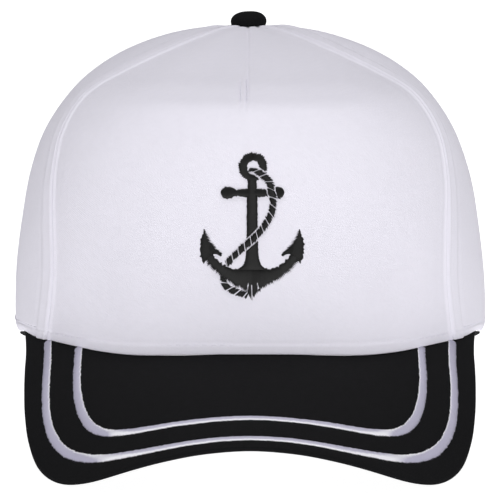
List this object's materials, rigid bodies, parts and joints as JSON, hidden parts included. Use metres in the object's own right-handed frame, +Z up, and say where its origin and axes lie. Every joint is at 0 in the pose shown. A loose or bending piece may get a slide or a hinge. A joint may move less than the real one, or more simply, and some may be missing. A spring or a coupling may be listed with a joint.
{
  "type": "trucker hat",
  "caption": "Five-panel cap with a curved striped peak, a cloth button, a stitched anchor and an arch-shaped opening with a strap behind.",
  "frame": {"origin": "on the floor, at the middle of the box that the resting cap fills", "axes": "+Y from the peak towards the back of the crown, +Z up, +X to the right of someone who looks at the front"},
  "size_m": [0.1772, 0.2662, 0.1325],
  "materials": {
    "white_cloth": "matt cotton twill",
    "band_cloth": "matt cotton",
    "black_cloth": "matt cotton twill",
    "white_thread": "satin thread",
    "black_thread": "satin thread"
  },
  "bodies": {
    "root": {"front_panel": "white_cloth", "side_panel_left": "white_cloth", "side_panel_right": "white_cloth", "back_panel_left": "white_cloth", "back_panel_right": "white_cloth", "sweatband": "band_cloth", "back_strap": "white_cloth", "button": "black_cloth", "peak": "black_cloth", "peak_stripe_outer": "white_thread", "peak_stripe_inner": "white_thread", "anchor_ring": "black_thread", "anchor_shank": "black_thread", "anchor_stock_left": "black_thread", "anchor_stock_right": "black_thread", "anchor_arms": "black_thread", "anchor_rope_upper": "black_thread", "anchor_rope_middle": "black_thread", "anchor_rope_lower": "black_thread"}
  },
  "joints": []
}
